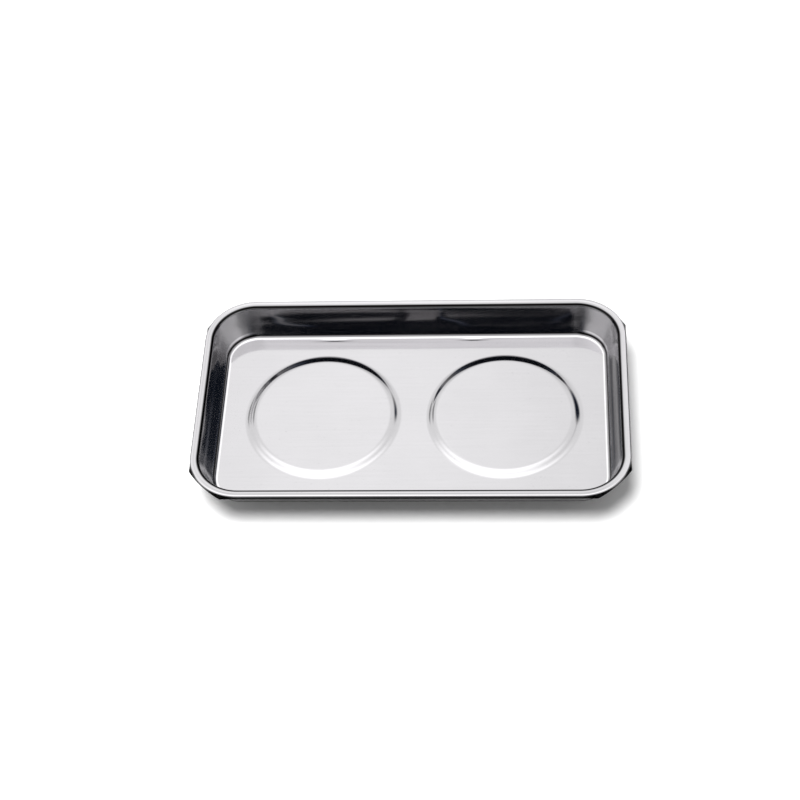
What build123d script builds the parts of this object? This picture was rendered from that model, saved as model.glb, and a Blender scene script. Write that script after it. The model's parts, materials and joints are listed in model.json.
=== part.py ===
from build123d import *
import os
from math import cos, radians, sqrt, tan

os.makedirs("parts", exist_ok=True)

# A magnetic parts tray: a pressed stainless steel pan with two round pads, and under each pad a
# ring magnet in a rubber boot, clamped to a stud that is welded to the pan.
# The origin is on the surface the tray stands on, under the middle of the tray.
# +X runs along the length, +Z is up.

# Pan, overall
overall_length = 241.3
overall_width = 139.7
tray_depth = 20.0
sheet = 0.6

# Pan, walls and floor
wall_lean = 17.2
foot_bend = 2.2
rim_inner_corner = 23.25

# Pan, rolled rim
rim_width = 4.8
rim_inner_bend = 2.2
crown_inset = 0.9
crown_drop = 0.7
lip_drop = 2.4
lip_corner_leg = 18.5
lip_corner_offset = 8.3

# Pan, the two round pads
pad_spacing = 102.6
pad_foot_radius = 43.0
pad_top_radius = 39.4
pad_height = 1.5
pad_bend = 9.0

# Magnet assembly
boot_radius = 38.8
boot_wall = 2.2
boot_floor = 2.0
boot_lip_gap = 0.3
boot_edge_round = 1.0
boot_mouth_radius = 11.4
boot_groove_radii = (19.0, 25.0, 31.0)
boot_groove_width = 1.6
boot_groove_depth = 0.6
magnet_radius = 36.2
magnet_thickness = 8.0
magnet_bore_radius = 8.7
magnet_edge_chamfer = 0.5
plate_radius = 36.0
plate_thickness = 1.5
plate_hole_radius = 3.8
plate_edge_round = 0.4

# Stud and what holds the magnet on it
stud_radius = 2.5
stud_flange_radius = 3.4
stud_flange_height = 0.9
stud_length = 10.0
stud_tip_chamfer = 0.5
cup_gap = 1.0
cup_sheet = 1.0
cup_wall_radius = 8.4
cup_flange_radius = 11.0
cup_hole_radius = 2.8
washer_radius = 4.6
washer_thickness = 1.2
nut_across_flats = 8.0
nut_height = 4.0
nut_corner_chamfer = 0.5

# Heights that follow from the stack under a pad
pad_underside = boot_floor + magnet_thickness + plate_thickness
floor_height = pad_underside + sheet - pad_height
rim_height = floor_height + tray_depth
plate_base = pad_underside - plate_thickness
magnet_base = plate_base - magnet_thickness
cup_top = plate_base - cup_gap
washer_base = cup_top - cup_sheet - washer_thickness
nut_base = washer_base - nut_height

# Half sizes of the pan's inner face, at the rim and where the wall would meet the floor
lean = tan(radians(wall_lean))
rim_inner_half = (overall_length / 2 - rim_width, overall_width / 2 - rim_width)
floor_half = tuple(half - tray_depth * lean for half in rim_inner_half)
floor_corner = rim_inner_corner - tray_depth * lean
sheet_across = sheet / cos(radians(wall_lean))

reach = 5.0
tiny = 0.01


def leaning_block(half_sizes, corner, base, top):
    """A solid rounded rectangle whose walls lean outwards, given its half sizes at its base."""
    outline = RectangleRounded(2 * half_sizes[0], 2 * half_sizes[1], corner)
    return extrude(Pos(0, 0, base) * outline, amount=top - base, taper=-wall_lean)


def base_edges(block, base):
    return [edge for edge in block.edges() if abs(edge.center().Z - base) < tiny]


def cavity_block():
    """The space inside the pan, with its rounded foot."""
    block = leaning_block(floor_half, floor_corner, floor_height, rim_height + reach)
    return fillet(base_edges(block, floor_height), foot_bend)


def wall_block():
    """The outside of the pan's floor and walls, one sheet thickness outside the cavity."""
    base = floor_height - sheet
    grow = sheet_across - sheet * lean
    half_sizes = (floor_half[0] + grow, floor_half[1] + grow)
    top = rim_height - sheet / 2
    block = leaning_block(half_sizes, floor_corner + grow, base, top)
    return fillet(base_edges(block, base), foot_bend + sheet)


def rim_outline(inset, leg, offset, height):
    """
    A closed outline whose corners are arcs: each arc starts and ends one leg away from the square
    corner, and its middle is one offset away from it along both axes.
    """
    half_x = overall_length / 2 - inset
    half_y = overall_width / 2 - inset
    edges = []
    corners = [(1, 1), (-1, 1), (-1, -1), (1, -1)]
    for index, (sx, sy) in enumerate(corners):
        side_point = (sx * half_x, sy * (half_y - leg))
        end_point = (sx * (half_x - leg), sy * half_y)
        middle = (sx * (half_x - offset), sy * (half_y - offset))
        first, last = (side_point, end_point) if sx * sy > 0 else (end_point, side_point)
        edges.append(ThreePointArc(first, middle, last))
        next_sx, next_sy = corners[(index + 1) % 4]
        next_side = (next_sx * half_x, next_sy * (half_y - leg))
        next_end = (next_sx * (half_x - leg), next_sy * half_y)
        following = next_side if next_sx * next_sy > 0 else next_end
        edges.append(Line(last, following))
    return Pos(0, 0, height) * make_face(edges)


def round_outline(inset, height):
    """The rim's outline with quarter-round corners that follow the pan's inner corner."""
    corner = rim_inner_corner + rim_width - inset
    return rim_outline(inset, corner, corner * (1 - 1 / sqrt(2)), height)


def lip_outline(inset, height):
    """The lower edge of the rim's lip, whose corners are trimmed across in a shallow curve."""
    return rim_outline(inset, lip_corner_leg, lip_corner_offset, height)


def rolled_rim():
    """The rim: a crown on top and a lip turned down, hollow underneath."""
    outside = loft(
        [
            round_outline(crown_inset, rim_height),
            round_outline(0, rim_height - crown_drop),
            lip_outline(0, rim_height - lip_drop),
        ],
        ruled=True,
    )
    hollow = loft(
        [
            round_outline(crown_inset + sheet / 2, rim_height - sheet),
            round_outline(sheet, rim_height - sheet / 2 - crown_drop),
            lip_outline(sheet, rim_height - lip_drop - tiny),
        ],
        ruled=True,
    )
    return outside - hollow


def pad_cone(top_radius, foot_radius, base):
    return Pos(0, 0, base) * Cone(
        foot_radius, top_radius, pad_height, align=(Align.CENTER, Align.CENTER, Align.MIN)
    )


def pad_places():
    return [Pos(side * pad_spacing / 2, 0, 0) for side in (-1, 1)]


def bend_edges(pan, radius, height):
    """The circles of one radius at one height: the bends at the pads."""
    found = []
    for edge in pan.edges().filter_by(GeomType.CIRCLE):
        if abs(edge.radius - radius) < tiny and abs(edge.center().Z - height) < tiny:
            found.append(edge)
    return found


def mouth_edges(pan, grow, height):
    """The edges at one height that are no further out than the pan's mouth and a small growth."""
    found = []
    for edge in pan.edges():
        middle = edge @ 0.5
        inside_x = abs(middle.X) < rim_inner_half[0] + grow + tiny
        inside_y = abs(middle.Y) < rim_inner_half[1] + grow + tiny
        if abs(middle.Z - height) < tiny and inside_x and inside_y:
            found.append(edge)
    return found


def tray_pan():
    """One pressed sheet: floor with two raised pads, leaning walls and rolled rim."""
    slope = (pad_foot_radius - pad_top_radius) / pad_height
    under_shift = sheet * (sqrt(1 + slope**2) - slope)
    pan = rolled_rim() + wall_block()
    cavity = cavity_block()
    for place in pad_places():
        pan -= place * pad_cone(
            pad_top_radius - under_shift, pad_foot_radius - under_shift, floor_height - sheet
        )
        cavity -= place * pad_cone(pad_top_radius, pad_foot_radius, floor_height)
    pan -= cavity
    top, bottom = floor_height, floor_height - sheet
    bends = [
        (pad_top_radius, top + pad_height, pad_bend),
        (pad_foot_radius, top, pad_bend),
        (pad_top_radius - under_shift, bottom + pad_height, pad_bend - sheet),
        (pad_foot_radius - under_shift, bottom, pad_bend + sheet),
    ]
    for radius, height, bend in bends:
        pan = fillet(bend_edges(pan, radius, height), bend)
    pan = fillet(mouth_edges(pan, 0, rim_height), rim_inner_bend)
    return fillet(mouth_edges(pan, sheet_across, rim_height - sheet), rim_inner_bend - sheet)


def disc(radius, thickness, base):
    return Pos(0, 0, base) * Cylinder(
        radius, thickness, align=(Align.CENTER, Align.CENTER, Align.MIN)
    )


def circles(body, height):
    """The circular edges of a turned body at one height, largest first."""
    found = [
        edge
        for edge in body.edges().filter_by(GeomType.CIRCLE)
        if abs(edge.center().Z - height) < tiny
    ]
    return sorted(found, key=lambda edge: -edge.radius)


def rubber_boot():
    """A rubber cup that covers the magnet's side and underside."""
    boot = disc(boot_radius, pad_underside - boot_lip_gap, 0)
    boot = fillet(circles(boot, 0)[:1], boot_edge_round)
    boot -= disc(boot_radius - boot_wall, pad_underside, boot_floor)
    boot -= disc(boot_mouth_radius, boot_floor, 0)
    for radius in boot_groove_radii:
        groove = disc(radius + boot_groove_width / 2, boot_groove_depth, 0)
        groove -= disc(radius - boot_groove_width / 2, boot_groove_depth, 0)
        boot -= groove
    return boot


def ring_magnet():
    """A ferrite ring."""
    magnet = disc(magnet_radius, magnet_thickness, magnet_base)
    magnet -= disc(magnet_bore_radius, magnet_thickness, magnet_base)
    rims = circles(magnet, magnet_base) + circles(magnet, plate_base)
    return chamfer(rims, magnet_edge_chamfer)


def backing_plate():
    """The steel disc between the magnet and the pan."""
    plate = disc(plate_radius, plate_thickness, plate_base)
    plate -= disc(plate_hole_radius, plate_thickness, plate_base)
    rims = circles(plate, plate_base)[:1] + circles(plate, pad_underside)[:1]
    return fillet(rims, plate_edge_round)


def weld_stud():
    """A threaded stud whose flange is welded to the underside of the pad."""
    stud = disc(stud_flange_radius, stud_flange_height, pad_underside - stud_flange_height)
    stud += disc(stud_radius, stud_length, pad_underside - stud_length)
    return chamfer(circles(stud, pad_underside - stud_length), stud_tip_chamfer)


def retaining_cup():
    """A pressed steel cup in the magnet's bore; its flange bears on the magnet's underside."""
    cup = disc(cup_wall_radius, cup_top - magnet_base, magnet_base)
    cup -= disc(cup_wall_radius - cup_sheet, cup_top - cup_sheet - magnet_base, magnet_base)
    flange = disc(cup_flange_radius, cup_sheet, magnet_base - cup_sheet)
    flange -= disc(cup_wall_radius - cup_sheet, cup_sheet, magnet_base - cup_sheet)
    cup += flange
    cup -= disc(cup_hole_radius, cup_sheet, cup_top - cup_sheet)
    return cup


def lock_washer():
    washer = disc(washer_radius, washer_thickness, washer_base)
    return washer - disc(stud_radius, washer_thickness, washer_base)


def hex_nut():
    """A hexagon nut with turned corners."""
    corner_radius = nut_across_flats / sqrt(3)
    hexagon = RegularPolygon(corner_radius, 6)
    nut = extrude(Pos(0, 0, nut_base) * hexagon, amount=nut_height)
    turned = disc(corner_radius, nut_height, nut_base)
    turned = chamfer(circles(turned, nut_base), nut_corner_chamfer)
    nut &= turned
    return nut - disc(stud_radius, nut_height, nut_base)


magnet_assembly = {
    "weld_stud": weld_stud,
    "backing_plate": backing_plate,
    "ring_magnet": ring_magnet,
    "rubber_boot": rubber_boot,
    "retaining_cup": retaining_cup,
    "lock_washer": lock_washer,
    "hex_nut": hex_nut,
}

export_step(tray_pan(), "parts/tray_pan.step")
for name, make in magnet_assembly.items():
    piece = make()
    for side, place in zip(("left", "right"), pad_places()):
        export_step(place * piece, f"parts/{side}_{name}.step")
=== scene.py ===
"""A magnetic parts tray: polished stainless pan, and a rubber-covered ring magnet under each round pad."""

import json
from math import atan2, cos, hypot, pi, radians, sin, sqrt, tan

import bpy
from mathutils import Matrix, Vector, noise


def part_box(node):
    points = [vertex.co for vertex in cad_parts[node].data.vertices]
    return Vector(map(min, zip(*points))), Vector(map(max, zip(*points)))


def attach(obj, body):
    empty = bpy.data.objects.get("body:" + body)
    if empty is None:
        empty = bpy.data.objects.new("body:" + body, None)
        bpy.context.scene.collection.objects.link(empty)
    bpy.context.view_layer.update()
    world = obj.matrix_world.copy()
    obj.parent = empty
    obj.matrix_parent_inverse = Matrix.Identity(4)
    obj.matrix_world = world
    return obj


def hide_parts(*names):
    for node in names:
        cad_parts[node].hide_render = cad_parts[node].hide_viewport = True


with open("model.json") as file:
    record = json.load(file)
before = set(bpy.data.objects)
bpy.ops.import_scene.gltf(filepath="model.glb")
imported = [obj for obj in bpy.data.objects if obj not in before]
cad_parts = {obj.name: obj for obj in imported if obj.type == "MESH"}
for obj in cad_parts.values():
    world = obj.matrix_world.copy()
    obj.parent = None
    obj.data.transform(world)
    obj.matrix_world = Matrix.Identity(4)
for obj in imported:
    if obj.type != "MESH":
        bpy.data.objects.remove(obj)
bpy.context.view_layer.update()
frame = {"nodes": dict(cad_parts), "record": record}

MM = 0.001

# Places that follow from the frame
pan_low, pan_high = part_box("tray_pan")
boot_low, boot_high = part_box("right_rubber_boot")
PAD_X = (boot_low.x + boot_high.x) / 2
RIM_Z = pan_high.z

# The pan's shape
SHEET = 0.6 * MM
DEPTH = 20.0 * MM
FLOOR_Z = RIM_Z - DEPTH
WALL_LEAN = radians(17.2)
RIM_WIDTH = 4.8 * MM
INNER_CORNER = 23.25 * MM
OUTER_CORNER = INNER_CORNER + RIM_WIDTH
SPINE_X = pan_high.x - OUTER_CORNER
SPINE_Y = pan_high.y - OUTER_CORNER
FOOT_BEND = 2.2 * MM
FOOT_START = INNER_CORNER - DEPTH * tan(WALL_LEAN) - FOOT_BEND * tan((pi / 2 - WALL_LEAN) / 2)
MOUTH_BEND = 2.2 * MM
CROWN_RISE = 0.14 * MM
CROWN_TILT = radians(1.0)
FLOOR_BORDER = 4.2 * MM
GROOVE_INSET = 2.3 * MM
GROOVE_HALF_WIDTH = 0.7 * MM
GROOVE_DEPTH = 0.045 * MM
ROLL_RADIUS = 0.9 * MM
LIP_DROP = 2.4 * MM
LIP_LEG = 18.5 * MM
LIP_OFFSET = 8.3 * MM
EAR_START = 0.6 * MM
EDGE_HOLD = 0.06 * MM

# Light and dark lines painted into the steel's own colour, in place of reflections that this studio
# doesn't give: how strong they are, and their place and half width on the pan
FOOT_PAINTED_HIGHLIGHT_TILT = radians(16.0)
FOOT_PAINTED_HIGHLIGHT_WIDTH = 0.85 * MM
FOOT_DARK = 0.88
FOOT_DARK_HEIGHT = 1.5 * MM
FOOT_DARK_WIDTH = 1.0 * MM
END_DARK = 0.9
END_DARK_WIDTH = 1.4 * MM
END_PAINTED_HIGHLIGHT = 1.4
END_PAINTED_HIGHLIGHT_HEIGHT = 3.2 * MM
END_PAINTED_HIGHLIGHT_WIDTH = 1.0 * MM
MOUTH_DARK = 1.3
MOUTH_DARK_TILT = radians(32.0)
MOUTH_DARK_SPREAD = radians(42.0)
EDGE_PAINTED_HIGHLIGHT = 0.4
EDGE_PAINTED_HIGHLIGHT_WIDTH = 0.4 * MM
LIP_DARK_START = 0.24 * MM

# The pads
PAD_FOOT = 43.0 * MM
PAD_TOP = 39.4 * MM
PAD_HEIGHT = 1.5 * MM
PAD_BEND = 9.0 * MM
PAD_END = 45.2 * MM

# How far the corners' stretched, less smooth sheet reaches along the long sides and along the ends
DRAWN_REACH = (4 * MM, 12 * MM)

# The shares of the wall's height, at its foot and its mouth, over which its unevenness fades
FOOT_FADE = 1 / 6
MOUTH_FADE = 1 / 8

# How far the sheet is from flat: its walls ripple, its end walls have one long wave from bottom to
# top, and the floor dips along the foot of the back wall
RIPPLE = 0.08 * MM
RIPPLE_LENGTH = 75 * MM
RIPPLE_PITCH = 4.5 * MM
RIPPLE_SHIFT = 2.3
WAVE = 0.065 * MM
WAVE_LENGTH = 12 * MM
WAVE_MIDDLE = 12.4 * MM
FLOOR_RIPPLE = 0.02 * MM
FLOOR_RIPPLE_LENGTH = 26 * MM
DIP_DEPTH = 0.24 * MM
DIP_INSET = 0.8 * MM
DIP_REACH = 1.7 * MM
DIPS = ((-48 * MM, 15 * MM), (33 * MM, 11 * MM))

# Mesh density
SIDE_STEP = 3.6 * MM
CORNER_STEPS = 29
BORDER_STEPS = 12
FOOT_STEPS = 20
WALL_STEPS = 32
MOUTH_STEPS = 16
CROWN_STEPS = 14
ROLL_STEPS = 8
LIP_STEPS = 3
MIDLINE_STEPS = 40
SPREAD_STEPS = 12
PAD_BEND_STEPS = 9
PAD_TOP_STEPS = 16

# The studio: its brightness for matt surfaces, and the round floor with the lamp over its middle
AMBIENT = 0.4
LAMP_PLACE = (-0.17, -0.25, 1.2)
FLOOR_RADIUS = 1.0


# ---------------------------------------------------------------- sections

def arc_points(centre, radius, start, end, steps):
    turn = (end - start) / steps
    angles = [start + turn * step for step in range(steps + 1)]
    return [(centre[0] + radius * cos(a), centre[1] + radius * sin(a)) for a in angles]


def smooth_step(value):
    value = min(1.0, max(0.0, value))
    return value * value * (3 - 2 * value)


def bump(value):
    """One at zero, falling smoothly to zero at one on either side."""
    return (1 + cos(pi * value)) / 2 if abs(value) < 1 else 0.0


def between(start, end, steps):
    """The points strictly between two others."""
    shares = [step / steps for step in range(1, steps)]
    return [(start[0] + (end[0] - start[0]) * s, start[1] + (end[1] - start[1]) * s) for s in shares]


def shaded(points, painted_reflection):
    return [(out, z, painted_reflection(out, z)) for out, z in points]


def wall_section():
    """
    The pan's upper face from the floor's border to the lip's lower edge, as (out from spine, z, painted
    reflection). The painted reflection lightens the steel's own colour where it is above zero, as painted
    highlights at the start of the foot and the rim's outer edge, and darkens it where it is below zero, as
    painted dark reflections above the foot, in the mouth and on the lip.
    """
    swing = pi / 2 - WALL_LEAN
    border = between((FOOT_START - FLOOR_BORDER, FLOOR_Z), (FOOT_START, FLOOR_Z), BORDER_STEPS)
    border.insert(0, (FOOT_START - FLOOR_BORDER, FLOOR_Z))
    foot = arc_points((FOOT_START, FLOOR_Z + FOOT_BEND), FOOT_BEND, -pi / 2, -pi / 2 + swing, FOOT_STEPS)
    shoulder = RIM_Z - CROWN_RISE
    mouth_centre = (INNER_CORNER + MOUTH_BEND * tan(swing / 2), shoulder - MOUTH_BEND)
    mouth = arc_points(mouth_centre, MOUTH_BEND, pi - WALL_LEAN, pi / 2, MOUTH_STEPS)
    roll_centre = (OUTER_CORNER - ROLL_RADIUS, RIM_Z - ROLL_RADIUS)
    roll = arc_points(roll_centre, ROLL_RADIUS, pi / 2 - CROWN_TILT, 0, ROLL_STEPS)
    inner, outer = mouth[-1][0], roll[0][0]
    crown = []
    for out, z in between((inner, 0), (outer, 0), CROWN_STEPS):
        rise = CROWN_RISE * smooth_step((out - inner) / (outer - inner))
        groove = GROOVE_DEPTH * bump((out - OUTER_CORNER + GROOVE_INSET) / GROOVE_HALF_WIDTH)
        crown.append((out, shoulder + rise - groove))
    wall = between(foot[-1], mouth[0], WALL_STEPS)
    lip_low = (OUTER_CORNER, RIM_Z - LIP_DROP)
    lip = between(roll[-1], lip_low, LIP_STEPS) + [(OUTER_CORNER, lip_low[1] + EDGE_HOLD), lip_low]

    foot_line = FOOT_START + FOOT_BEND * sin(FOOT_PAINTED_HIGHLIGHT_TILT) / 2

    # A painted highlight along the start of the foot, and a painted dark reflection as a line just above it.
    def foot_painted_reflection(out, z):
        return bump((out - foot_line) / FOOT_PAINTED_HIGHLIGHT_WIDTH) - FOOT_DARK * bump(
            (z - FLOOR_Z - FOOT_DARK_HEIGHT) / FOOT_DARK_WIDTH)

    # A painted dark reflection along the mouth bend, darkening the steel's own colour.
    def mouth_painted_reflection(out, z):
        tilt = atan2(mouth_centre[0] - out, z - mouth_centre[1])
        return -MOUTH_DARK * bump((tilt - MOUTH_DARK_TILT) / MOUTH_DARK_SPREAD)

    # A painted highlight along the rim's outer edge, and the lip below painted dark as a dark reflection.
    def edge_painted_reflection(out, z):
        edge = EDGE_PAINTED_HIGHLIGHT * bump((out - roll[1][0]) / EDGE_PAINTED_HIGHLIGHT_WIDTH)
        return edge - smooth_step((RIM_Z - z - LIP_DARK_START) / EAR_START)

    return (shaded(border + foot, foot_painted_reflection) + shaded(wall, lambda out, z: 0.0)
            + shaded(mouth, mouth_painted_reflection) + shaded(crown, lambda out, z: 0.0) + shaded(roll + lip, edge_painted_reflection))


def pad_section():
    """A pad's upper face from the floor round it towards its middle: (radius, z above the floor)."""
    slope = atan2(PAD_HEIGHT, PAD_FOOT - PAD_TOP)
    tangent = PAD_BEND * tan(slope / 2)
    foot = arc_points((PAD_FOOT + tangent, PAD_BEND), PAD_BEND, -pi / 2, -pi / 2 - slope, PAD_BEND_STEPS)
    edge_centre = (PAD_TOP - tangent, PAD_HEIGHT - PAD_BEND)
    edge = arc_points(edge_centre, PAD_BEND, pi / 2 - slope, pi / 2, PAD_BEND_STEPS)
    flat = between((PAD_TOP, PAD_HEIGHT), (0, PAD_HEIGHT), PAD_TOP_STEPS)
    return [(PAD_END, 0.0)] + foot + edge + flat


# ---------------------------------------------------------------- plan

def stations():
    """
    Places round the tray, anticlockwise from the middle of the back: a point of the spine, which is
    the rectangle through the corners' centres, and the direction outwards.
    """
    found = []

    def side(start, end, direction):
        start, end = Vector(start), Vector(end)
        steps = round((end - start).length / SIDE_STEP)
        found.extend((start.lerp(end, step / steps), Vector(direction)) for step in range(steps))

    def corner(centre, first):
        for step in range(CORNER_STEPS):
            angle = first + pi / 2 * step / CORNER_STEPS
            found.append((Vector(centre), Vector((cos(angle), sin(angle)))))

    side((0, SPINE_Y), (-SPINE_X, SPINE_Y), (0, 1))
    corner((-SPINE_X, SPINE_Y), pi / 2)
    side((-SPINE_X, SPINE_Y), (-SPINE_X, -SPINE_Y), (-1, 0))
    corner((-SPINE_X, -SPINE_Y), pi)
    side((-SPINE_X, -SPINE_Y), (0, -SPINE_Y), (0, -1))
    side((0, -SPINE_Y), (SPINE_X, -SPINE_Y), (0, -1))
    corner((SPINE_X, -SPINE_Y), pi * 3 / 2)
    side((SPINE_X, -SPINE_Y), (SPINE_X, SPINE_Y), (1, 0))
    corner((SPINE_X, SPINE_Y), 0)
    side((SPINE_X, SPINE_Y), (0, SPINE_Y), (0, 1))
    return found


def lip_reach(direction):
    """How far the lip's lower edge is from the spine. Its corners are trimmed in a shallow curve."""
    small, large = sorted((abs(direction.x), abs(direction.y)))
    turn = atan2(small, large)
    if turn <= atan2(OUTER_CORNER - LIP_LEG, OUTER_CORNER):
        return OUTER_CORNER / cos(turn)
    half_chord = LIP_LEG / sqrt(2)
    middle = (OUTER_CORNER - LIP_OFFSET) * sqrt(2)
    bulge = middle - (OUTER_CORNER - LIP_LEG / 2) * sqrt(2)
    radius = (half_chord ** 2 + bulge ** 2) / (2 * bulge)
    centre = middle - radius
    swing = pi / 4 - turn
    return centre * cos(swing) + sqrt(radius ** 2 - (centre * sin(swing)) ** 2)


# ---------------------------------------------------------------- the pan's mesh

def wall_share(z):
    """One on the wall, falling to zero at its foot and mouth."""
    height = (z - FLOOR_Z) / DEPTH
    return smooth_step(height / FOOT_FADE) * smooth_step((1 - height) / MOUTH_FADE)


def drawn_share(spine):
    """One in the corners, where the press stretched the sheet most, falling to zero along the sides."""
    along, across = DRAWN_REACH
    return 1 - smooth_step(hypot((SPINE_X - abs(spine.x)) / along, (SPINE_Y - abs(spine.y)) / across))


def end_painted_reflection(direction, z):
    """Round the corners and ends, the wall's foot has a wider painted dark reflection and a painted highlight
    above it.
    """
    painted_reflection = END_PAINTED_HIGHLIGHT * bump((z - FLOOR_Z - END_PAINTED_HIGHLIGHT_HEIGHT) / END_PAINTED_HIGHLIGHT_WIDTH)
    painted_reflection -= END_DARK * bump((z - FLOOR_Z - FOOT_DARK_HEIGHT) / END_DARK_WIDTH)
    return painted_reflection * smooth_step(4 * abs(direction.x))


def wall_point(spine, direction, out, z):
    """
    A point of the wall, rim or lip. Below the crown the outline changes to the lip's. The straight
    sides ripple, and the ends have the long wave too.
    """
    if out > OUTER_CORNER - ROLL_RADIUS:
        share = smooth_step((RIM_Z - EAR_START - z) / (LIP_DROP - EAR_START))
        out += (lip_reach(direction) - OUTER_CORNER) * share
    ends = wall_share(z)
    flat = spine + direction * out
    if ends > 0:
        along = Vector((flat.x / RIPPLE_LENGTH + RIPPLE_SHIFT, flat.y / RIPPLE_LENGTH, z / RIPPLE_PITCH))
        on_side = 1 - smooth_step(4 * abs(direction.x * direction.y))
        out += RIPPLE * noise.noise(along) * ends * on_side
        wave = sin((FLOOR_Z + WAVE_MIDDLE - z) * 2 * pi / WAVE_LENGTH)
        on_end = smooth_step(5 * abs(direction.x) - 4)
        out += WAVE * wave * ends * on_end
        flat = spine + direction * out
    return Vector((flat.x, flat.y, z))


def floor_point(x, y, height):
    """A point of the floor or a pad, with the sheet's slight unevenness."""
    wave = noise.noise(Vector((x, y, 0)) / FLOOR_RIPPLE_LENGTH)
    inset = SPINE_Y + FOOT_START - y - DIP_INSET
    across = bump(inset / (DIP_REACH if inset > 0 else DIP_INSET))
    dip = DIP_DEPTH * across * sum(bump((x - middle) / half) for middle, half in DIPS)
    return Vector((x, y, FLOOR_Z + height + FLOOR_RIPPLE * wave - dip))


class PanMesh:
    """The pan's upper face: wall loops round the outside, and a fan of rings round each pad."""

    def __init__(self):
        self.points = []
        self.painted_reflections = []
        self.drawn = []
        self.unrolled = []
        self.faces = []

    def add(self, point, painted_reflection=0.0, drawn=0.0, unrolled=None):
        """
        Drawn is how much the press stretched the sheet there, up to one. Unrolled is where the point
        was in the flat sheet before it was pressed.
        """
        self.points.append(point)
        self.painted_reflections.append(painted_reflection)
        self.drawn.append(drawn)
        self.unrolled.append(unrolled or point.xy.to_3d())
        return len(self.points) - 1

    def join(self, outer, inner):
        """Quads between two closed loops of the same length; outer is the one further from the middle."""
        count = len(outer)
        for index in range(count):
            after = (index + 1) % count
            self.faces.append((outer[index], outer[after], inner[after], inner[index]))

    def walls(self):
        places = stations()
        loops = []
        section = wall_section()
        reach = section[0][0]
        before = section[0]
        for place in section:
            out, z, painted_reflection = place
            reach += hypot(out - before[0], z - before[1])
            before = place
            ear_share = smooth_step((RIM_Z - EAR_START / 2 - z) / EAR_START)
            loop = []
            for spine, way in places:
                point = wall_point(spine, way, out, z)
                if z == FLOOR_Z:
                    point = floor_point(point.x, point.y, 0.0)
                drawn = 0.0
                extra = 0.0
                if out < INNER_CORNER:
                    drawn = drawn_share(spine) * wall_share(z)
                    # Round the corners and ends, a wider painted dark reflection at the wall's foot and a
                    # painted highlight above it.
                    extra = end_painted_reflection(way, z)
                elif out > OUTER_CORNER - ROLL_RADIUS:
                    # The lip's trimmed corners are painted dark, as a painted dark reflection.
                    extra = -ear_share * smooth_step((lip_reach(way) - OUTER_CORNER) / EAR_START)
                loop.append(self.add(point, painted_reflection + extra, drawn, (spine + way * reach).to_3d()))
            loops.append(loop)
        for inner, outer in zip(loops, loops[1:]):
            self.join(outer, inner)
        return loops[0]

    def pad(self, boundary, centre):
        """Fills one closed boundary, with a pad in its middle."""
        section = pad_section()
        start_radius = section[0][0]
        ways = [(self.points[index].xy - centre).normalized() for index in boundary]
        loop = boundary
        for step in range(1, SPREAD_STEPS):
            share = step / SPREAD_STEPS
            inner = []
            for index, way in zip(boundary, ways):
                flat = self.points[index].xy.lerp(centre + way * start_radius, share)
                inner.append(self.add(floor_point(flat.x, flat.y, 0.0)))
            self.join(loop, inner)
            loop = inner
        for radius, height in section:
            flats = [centre + way * radius for way in ways]
            inner = [self.add(floor_point(flat.x, flat.y, height)) for flat in flats]
            self.join(loop, inner)
            loop = inner
        middle = self.add(floor_point(centre.x, centre.y, PAD_HEIGHT))
        for index, vertex in enumerate(loop):
            self.faces.append((vertex, loop[(index + 1) % len(loop)], middle))

    def build(self):
        foot = self.walls()
        half = len(foot) // 2
        back, front = self.points[foot[0]], self.points[foot[half]]
        shares = [step / MIDLINE_STEPS for step in range(1, MIDLINE_STEPS)]
        flats = [front.lerp(back, share) for share in shares]
        midline = [self.add(floor_point(flat.x, flat.y, 0.0)) for flat in flats]
        self.pad(foot[:half + 1] + midline, Vector((-PAD_X, 0)))
        self.pad(foot[half:] + foot[:1] + midline[::-1], Vector((PAD_X, 0)))
        mesh = bpy.data.meshes.new("stainless_pan")
        mesh.from_pydata(self.points, [], self.faces)
        # Painted reflections: light and dark lines painted into the steel's own colour, read by the stainless
        # material.
        painted_reflection = mesh.attributes.new("painted_reflection", "FLOAT", "POINT")
        painted_reflection.data.foreach_set("value", self.painted_reflections)
        drawn = mesh.attributes.new("drawn", "FLOAT", "POINT")
        drawn.data.foreach_set("value", self.drawn)
        unrolled = mesh.attributes.new("unrolled", "FLOAT_VECTOR", "POINT")
        unrolled.data.foreach_set("vector", [number for point in self.unrolled for number in point])
        mesh.update()
        return mesh


def make_pan():
    mesh = PanMesh().build()
    mesh.polygons.foreach_set("use_smooth", [True] * len(mesh.polygons))
    pan = bpy.data.objects.new("stainless_pan", mesh)
    bpy.context.collection.objects.link(pan)
    solid = pan.modifiers.new("sheet", "SOLIDIFY")
    solid.thickness = SHEET
    solid.offset = -1
    solid.use_even_offset = True
    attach(pan, "root")
    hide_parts("tray_pan")
    return pan


# ---------------------------------------------------------------- materials

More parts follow.
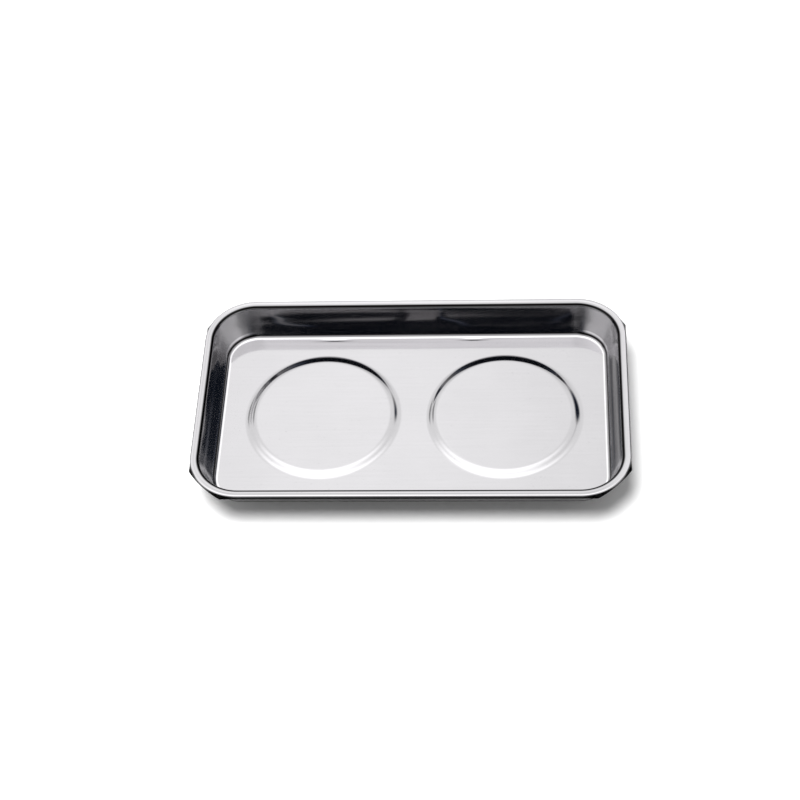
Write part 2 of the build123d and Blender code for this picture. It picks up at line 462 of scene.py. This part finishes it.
class Finish:
    """A material under construction; its patterns are laid out in metres on the object."""

    def __init__(self, name):
        self.material = bpy.data.materials.new(name)
        self.material.use_nodes = True
        self.tree = self.material.node_tree
        self.shader = self.tree.nodes["Principled BSDF"]
        self.place = self.tree.nodes.new("ShaderNodeTexCoord").outputs["Object"]

    def attribute(self, name, output):
        node = self.tree.nodes.new("ShaderNodeAttribute")
        node.attribute_name = name
        return node.outputs[output]

    def grain(self, scale, stretch=(1, 1, 1), detail=3, turn=0.0):
        """Noise, of about this many grains a metre, from zero to one round a half."""
        mapping = self.tree.nodes.new("ShaderNodeMapping")
        self.tree.links.new(self.place, mapping.inputs["Vector"])
        mapping.inputs["Scale"].default_value = stretch
        mapping.inputs["Rotation"].default_value = (0, 0, turn)
        node = self.tree.nodes.new("ShaderNodeTexNoise")
        node.inputs["Scale"].default_value = scale
        node.inputs["Detail"].default_value = detail
        self.tree.links.new(mapping.outputs[0], node.inputs["Vector"])
        return node.outputs["Fac"]

    def height(self):
        split = self.tree.nodes.new("ShaderNodeSeparateXYZ")
        self.tree.links.new(self.place, split.inputs[0])
        return split.outputs["Z"]

    def remap(self, value, low, high, to_low, to_high):
        node = self.tree.nodes.new("ShaderNodeMapRange")
        self.tree.links.new(value, node.inputs["Value"])
        for name, number in (("From Min", low), ("From Max", high), ("To Min", to_low), ("To Max", to_high)):
            node.inputs[name].default_value = number
        return node.outputs["Result"]

    def math(self, operation, first, second):
        node = self.tree.nodes.new("ShaderNodeMath")
        node.operation = operation
        for socket, value in zip(node.inputs, (first, second)):
            if isinstance(value, float):
                socket.default_value = value
            else:
                self.tree.links.new(value, socket)
        return node.outputs[0]

    def paint(self, grey, tint):
        """Colours the surface a varying grey with a tint."""
        colour = self.tree.nodes.new("ShaderNodeCombineColor")
        for channel, share in zip(("Red", "Green", "Blue"), tint):
            self.tree.links.new(self.math("MULTIPLY", grey, share), colour.inputs[channel])
        self.tree.links.new(colour.outputs[0], self.shader.inputs["Base Color"])

    def roughen(self, roughness, relief, strength, distance):
        self.tree.links.new(roughness, self.shader.inputs["Roughness"])
        bumps = self.tree.nodes.new("ShaderNodeBump")
        bumps.inputs["Strength"].default_value = strength
        bumps.inputs["Distance"].default_value = distance
        self.tree.links.new(relief, bumps.inputs["Height"])
        self.tree.links.new(bumps.outputs[0], self.shader.inputs["Normal"])


def stainless():
    """Bright rolled stainless steel with faint marks of use, and the pan's painted light and dark lines."""
    steel = Finish("stainless")
    steel.shader.inputs["Metallic"].default_value = 1
    steel.place = steel.attribute("unrolled", "Vector")
    painted_reflection = steel.attribute("painted_reflection", "Fac")
    rolling = steel.grain(700, (0.03, 1, 1))
    cloud = steel.grain(28, detail=4)
    speck = steel.grain(900, detail=1)
    grey = steel.remap(rolling, 0.3, 0.7, 0.522, 0.536)
    grey = steel.math("ADD", grey, steel.remap(cloud, 0.35, 0.65, -0.008, 0.008))
    grey = steel.math("SUBTRACT", grey, steel.remap(speck, 0.72, 0.78, 0.0, 0.1))
    # Painted reflections: above zero they lighten the grey as painted highlights, below zero they darken it
    # towards a hundredth as painted dark reflections.
    lightened = steel.math("MAXIMUM", painted_reflection, 0.0)
    darkened = steel.math("MINIMUM", painted_reflection, 0.0)
    grey = steel.math("ADD", grey, steel.math("MULTIPLY", lightened, 0.3))
    kept = steel.remap(darkened, -1.0, 0.0, 0.01, 1.0)
    steel.paint(steel.math("MULTIPLY", grey, kept), (1.0, 0.986, 1.01))
    rough = steel.remap(cloud, 0.3, 0.7, 0.06, 0.11)
    rough = steel.math("ADD", rough, steel.remap(rolling, 0.3, 0.7, -0.01, 0.015))
    rough = steel.math("ADD", rough, steel.math("MULTIPLY", steel.attribute("drawn", "Fac"), 0.14))
    steel.roughen(rough, rolling, 0.02, 0.02 * MM)
    return steel.material


def black_rubber():
    """Moulded rubber: a fine leathery skin, a bloom of dust, and scuffs where it stands on the bench."""
    rubber = Finish("black_rubber")
    skin = rubber.grain(1500, detail=4)
    bloom = rubber.grain(70, detail=5)
    scuff = rubber.grain(420, (0.06, 1, 1), detail=4, turn=0.6)
    worn = rubber.math("MULTIPLY", rubber.remap(rubber.height(), 0.0003, 0.0012, 1.0, 0.0),
                       rubber.remap(scuff, 0.52, 0.68, 0.0, 1.0))
    grey = rubber.remap(bloom, 0.35, 0.7, 0.014, 0.034)
    grey = rubber.math("ADD", grey, rubber.remap(skin, 0.4, 0.75, -0.004, 0.012))
    grey = rubber.math("ADD", grey, rubber.math("MULTIPLY", worn, 0.045))
    rubber.paint(grey, (1.0, 0.99, 0.97))
    rough = rubber.remap(bloom, 0.3, 0.7, 0.48, 0.66)
    rough = rubber.math("ADD", rough, rubber.math("MULTIPLY", worn, 0.15))
    rubber.shader.inputs["Specular IOR Level"].default_value = 0.42
    rubber.roughen(rough, rubber.math("ADD", skin, rubber.math("MULTIPLY", scuff, 0.5)), 0.5, 0.06 * MM)
    return rubber.material


def ferrite():
    """Sintered ferrite: charcoal with a coarse grain, and grinding marks."""
    magnet = Finish("ferrite")
    grains = magnet.grain(2200, detail=6)
    blotch = magnet.grain(120, detail=3)
    ground = magnet.grain(900, (0.05, 1, 1), detail=2, turn=0.3)
    grey = magnet.remap(grains, 0.35, 0.7, 0.03, 0.085)
    grey = magnet.math("ADD", grey, magnet.remap(blotch, 0.3, 0.7, -0.01, 0.012))
    magnet.paint(grey, (1.0, 0.97, 0.95))
    magnet.roughen(magnet.remap(ground, 0.3, 0.7, 0.5, 0.75), grains, 0.6, 0.08 * MM)
    return magnet.material


def zinc_steel():
    """Bright zinc plate over pressed steel: bluish, cloudy, with fine tool marks."""
    plate = Finish("zinc_steel")
    plate.shader.inputs["Metallic"].default_value = 1
    crystals = plate.grain(260, detail=5)
    cloud = plate.grain(60, detail=3)
    tool = plate.grain(1600, (1, 0.05, 1), detail=2, turn=0.4)
    grey = plate.remap(crystals, 0.3, 0.7, 0.5, 0.68)
    grey = plate.math("ADD", grey, plate.remap(tool, 0.3, 0.7, -0.03, 0.03))
    grey = plate.math("SUBTRACT", grey, plate.remap(cloud, 0.55, 0.75, 0.0, 0.12))
    plate.paint(grey, (0.96, 0.99, 1.04))
    rough = plate.remap(cloud, 0.3, 0.7, 0.22, 0.38)
    rough = plate.math("ADD", rough, plate.remap(crystals, 0.3, 0.7, -0.04, 0.05))
    plate.roughen(rough, tool, 0.25, 0.03 * MM)
    return plate.material


pan = make_pan()
pan.data.materials.append(stainless())
finishes = {"black_rubber": black_rubber(), "ferrite": ferrite(), "zinc_steel": zinc_steel()}
for part in frame["record"]["subparts"]:
    if part["material_slot"] in finishes:
        node = frame["nodes"][part["node"]]
        node.data.materials.clear()
        node.data.materials.append(finishes[part["material_slot"]])


# ---------------------------------------------------------------- stage, light and camera

def make_floor():
    """A plain pale floor, which the steel mirrors less brightly than the camera sees it."""
    bpy.ops.mesh.primitive_circle_add(
        vertices=96, radius=FLOOR_RADIUS, fill_type="NGON", location=(LAMP_PLACE[0], LAMP_PLACE[1], 0))
    floor = bpy.context.object
    floor.name = "studio_floor"
    paper = Finish("studio_floor")
    tone = paper.tree.nodes.new("ShaderNodeMix")
    tone.data_type = "RGBA"
    mirrored = paper.tree.nodes.new("ShaderNodeLightPath").outputs["Is Glossy Ray"]
    paper.tree.links.new(mirrored, tone.inputs["Factor"])
    tone.inputs["A"].default_value = (0.92, 0.92, 0.92, 1)
    tone.inputs["B"].default_value = (0.36, 0.36, 0.36, 1)
    paper.tree.links.new(tone.outputs["Result"], paper.shader.inputs["Base Color"])
    paper.shader.inputs["Roughness"].default_value = 0.9
    paper.shader.inputs["Specular IOR Level"].default_value = 0
    floor.data.materials.append(paper.material)


class Sky:
    """
    The studio round the tray, as brightness by direction, in degrees. Elevation is above the horizon.
    Sweep goes from the horizon behind the tray, 0, over the zenith, 90, to the horizon in front, 180,
    and lateral is to the left or right of it.
    """

    def __init__(self, tree, brightness):
        self.tree = tree
        self.path = tree.nodes.new("ShaderNodeLightPath")
        place = tree.nodes.new("ShaderNodeTexCoord")
        split = tree.nodes.new("ShaderNodeSeparateXYZ")
        tree.links.new(place.outputs["Generated"], split.inputs[0])
        right, back, up = (split.outputs[axis] for axis in "XYZ")
        self.elevation = self.in_degrees(self.math("ARCSINE", up))
        self.sweep = self.in_degrees(self.math("ARCTAN2", up, back))
        self.lateral = self.in_degrees(self.math("ARCSINE", right))
        self.level = brightness

    def math(self, operation, *values):
        node = self.tree.nodes.new("ShaderNodeMath")
        node.operation = operation
        for socket, value in zip(node.inputs, values):
            if isinstance(value, (int, float)):
                socket.default_value = value
            else:
                self.tree.links.new(value, socket)
        return node.outputs[0]

    def in_degrees(self, angle):
        return self.math("MULTIPLY", angle, 180 / pi)

    def ramp(self, value, start, end):
        node = self.tree.nodes.new("ShaderNodeMapRange")
        node.interpolation_type = "SMOOTHSTEP"
        self.tree.links.new(value, node.inputs["Value"])
        node.inputs["From Min"].default_value = start
        node.inputs["From Max"].default_value = end
        return node.outputs["Result"]

    def band(self, value, low, high, soft):
        rise = self.ramp(value, low - soft, low + soft)
        fall = self.ramp(value, high - soft, high + soft)
        return self.math("MULTIPLY", rise, self.math("SUBTRACT", 1.0, fall))

    def panel(self, brightness, share):
        """Sets one soft-edged window of the sky to a brightness."""
        mix = self.tree.nodes.new("ShaderNodeMix")
        self.tree.links.new(share, mix.inputs["Factor"])
        if isinstance(self.level, float):
            mix.inputs["A"].default_value = self.level
        else:
            self.tree.links.new(self.level, mix.inputs["A"])
        mix.inputs["B"].default_value = brightness
        self.level = mix.outputs["Result"]

    def ring(self, brightness, elevations, soft):
        self.panel(brightness, self.band(self.elevation, *elevations, soft))

    def strip(self, brightness, laterals, sweeps, soft=(5, 4), mirrored=1):
        """Mirrored is the least number of reflections that a ray has had if it sees the strip."""
        across = self.band(self.lateral, *laterals, soft[0])
        along = self.band(self.sweep, *sweeps, soft[1])
        share = self.math("MULTIPLY", across, along)
        if mirrored > 1:
            deep = self.math("GREATER_THAN", self.path.outputs["Ray Depth"], mirrored + 0.5)
            share = self.math("MULTIPLY", share, deep)
        self.panel(brightness, share)


def make_world():
    """
    What the steel mirrors is a pale studio with a large light overhead and dark cards low round it.
    Some cards only show in what is mirrored two or three times, by a wall and the floor. Matt surfaces
    get an even, dimmer light, and the camera sees plain white.
    """
    world = bpy.data.worlds.new("studio")
    bpy.context.scene.world = world
    world.use_nodes = True
    tree = world.node_tree
    sky = Sky(tree, 1.2)
    sky.strip(0.62, (-95, -42), (-10, 40), (6, 6))
    sky.strip(0.86, (-70, -50), (50, 84), (6, 8))
    sky.strip(0.3, (40, 95), (-10, 60), (9, 7))
    sky.strip(1.25, (-36, 14), (36, 108), (14, 6))
    sky.strip(1.62, (-10, -1), (44, 108), (9, 8))
    sky.strip(0.85, (-16, 16), (-10, 38), (6, 5))
    sky.strip(2.05, (-32, 18), (66, 100), (14, 8))
    sky.strip(0.66, (40, 62), (54, 110), (10, 9))
    sky.strip(1.0, (64, 95), (84, 190), (7, 8))
    sky.strip(0.45, (-20, 12), (40, 60), (6, 5), mirrored=3)
    sky.strip(0.36, (-33, -25), (36, 50), (4, 3))
    sky.strip(0.03, (-48, -31), (31, 50), (2.5, 3), mirrored=2)
    sky.strip(0.02, (-37, -20), (-10, 31), (6, 4))
    sky.strip(0.02, (-20, 21), (-10, 26), (5, 4))
    sky.strip(0.02, (24, 45), (-10, 49), (6, 5))
    sky.strip(0.25, (18, 42), (98, 132), (9, 7), mirrored=2)
    sky.strip(0.5, (18, 42), (130, 190), (9, 7), mirrored=2)
    sky.strip(0.03, (-95, -66), (-10, 72), (4, 6))
    sky.strip(0.03, (68, 95), (-10, 72), (4, 6))
    sky.strip(0.7, (-30, 30), (116, 190), (10, 6))
    sky.strip(0.02, (-21, 22), (162, 190), (8, 5))
    sky.strip(0.008, (-21, 22), (113, 190), (10, 5), mirrored=2)
    sky.ring(0.03, (-10, 7), 3)
    level = sky.level
    for ray, brightness in (("Is Diffuse Ray", AMBIENT), ("Is Camera Ray", 1.0)):
        seen = tree.nodes.new("ShaderNodeMix")
        tree.links.new(sky.path.outputs[ray], seen.inputs["Factor"])
        tree.links.new(level, seen.inputs["A"])
        seen.inputs["B"].default_value = brightness
        level = seen.outputs["Result"]
    tree.links.new(level, tree.nodes["Background"].inputs["Strength"])
    hue = tree.nodes.new("ShaderNodeMix")
    hue.data_type = "RGBA"
    tree.links.new(sky.math("MULTIPLY", level, 4.0), hue.inputs["Factor"])
    hue.inputs["A"].default_value = (0.55, 0.8, 1.4, 1)
    hue.inputs["B"].default_value = (1, 1, 1, 1)
    tree.links.new(hue.outputs["Result"], tree.nodes["Background"].inputs["Color"])


def make_key_light():
    """A soft light from the front left that lights the floor and throws the tray's shadow."""
    lamp = bpy.data.lights.new("key", "AREA")
    lamp.shape = "DISK"
    lamp.size = 0.72
    lamp.energy = 26.0
    holder = bpy.data.objects.new("key", lamp)
    bpy.context.collection.objects.link(holder)
    holder.location = LAMP_PLACE
    holder.rotation_euler = (-Vector(holder.location)).to_track_quat("-Z", "Y").to_euler()
    holder.visible_glossy = False


def make_camera():
    """The camera, from its distance, direction, roll and the floor point that it looks at."""
    distance = 1.0964
    elevation, azimuth, roll = radians(51.72), radians(6.45), radians(-5.41)
    looked_at = Vector((-8.14 * MM, 11.51 * MM, FLOOR_Z))
    back = Vector((sin(azimuth) * cos(elevation), -cos(azimuth) * cos(elevation), sin(elevation)))
    right = Vector((cos(azimuth), sin(azimuth), 0))
    up = back.cross(right)
    right, up = right * cos(roll) + up * sin(roll), up * cos(roll) - right * sin(roll)
    camera = bpy.data.cameras.new("camera")
    camera.sensor_width = 36
    camera.lens = 86.5
    camera.clip_start = 0.01
    holder = bpy.data.objects.new("camera", camera)
    bpy.context.collection.objects.link(holder)
    holder.matrix_world = Matrix.Translation(looked_at + back * distance) @ Matrix(
        (right, up, back)).transposed().to_4x4()
    bpy.context.scene.camera = holder


make_floor()
make_world()
make_key_light()
make_camera()
bpy.context.scene.view_settings.view_transform = "Standard"
